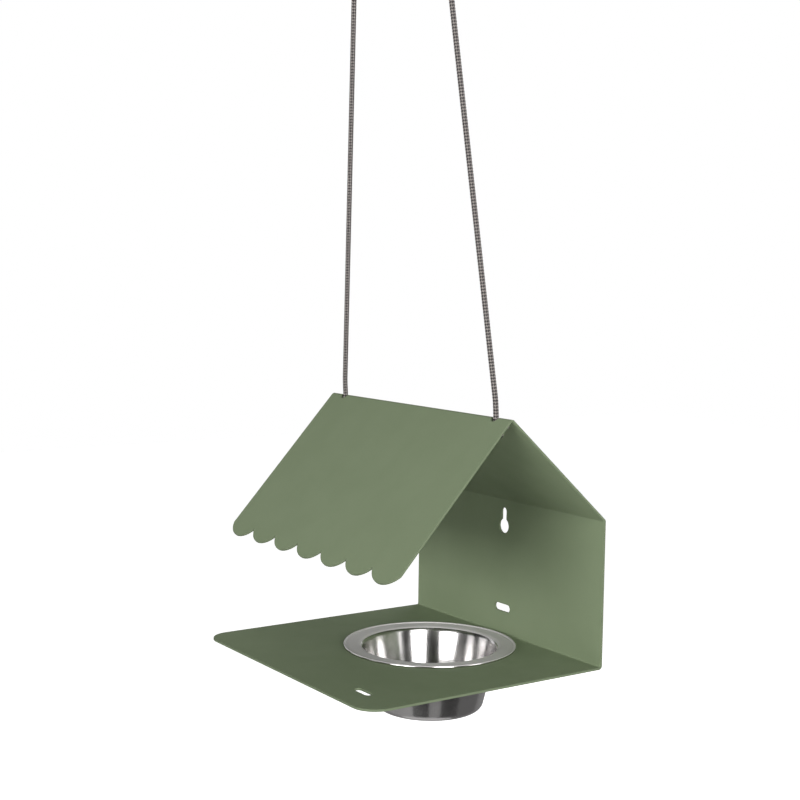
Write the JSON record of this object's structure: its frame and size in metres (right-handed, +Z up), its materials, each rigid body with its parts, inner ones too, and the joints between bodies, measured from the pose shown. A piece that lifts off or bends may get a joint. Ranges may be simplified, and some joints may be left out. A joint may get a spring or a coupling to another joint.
{
  "type": "hanging bird feeder",
  "caption": "Open-sided bird feeder folded from one painted sheet, with a scalloped eave, a lift-out bowl in the floor and a looped cord to hang it by.",
  "frame": {"origin": "where the cord's crown hangs, on the inner side of the loop, midway between the two strands", "axes": "+X to the feeder's right seen from the front, +Y back through the wall, +Z up; the open scalloped front faces -Y"},
  "size_m": [0.2, 0.176, 0.5228],
  "materials": {
    "paint": "satin sage green powder coat",
    "bowl_steel": "polished spun stainless steel",
    "cord": "braided grey and beige cord"
  },
  "bodies": {
    "cord": {"hanging_cord": "cord", "left_knot": "cord", "right_knot": "cord"},
    "feeder": {"folded_body": "paint"},
    "bowl": {"feeding_bowl": "bowl_steel"}
  },
  "joints": [
    {"name": "rock", "type": "hinge", "parent": "cord", "child": "feeder", "pos_m": [0, 0.021, -0.32653], "axis": [1, 0, 0], "range_deg": [-10, 8]},
    {"name": "bowl_lift", "type": "slide", "parent": "feeder", "child": "bowl", "axis": [0, 0, 1], "range_m": [0, 0.045]}
  ]
}
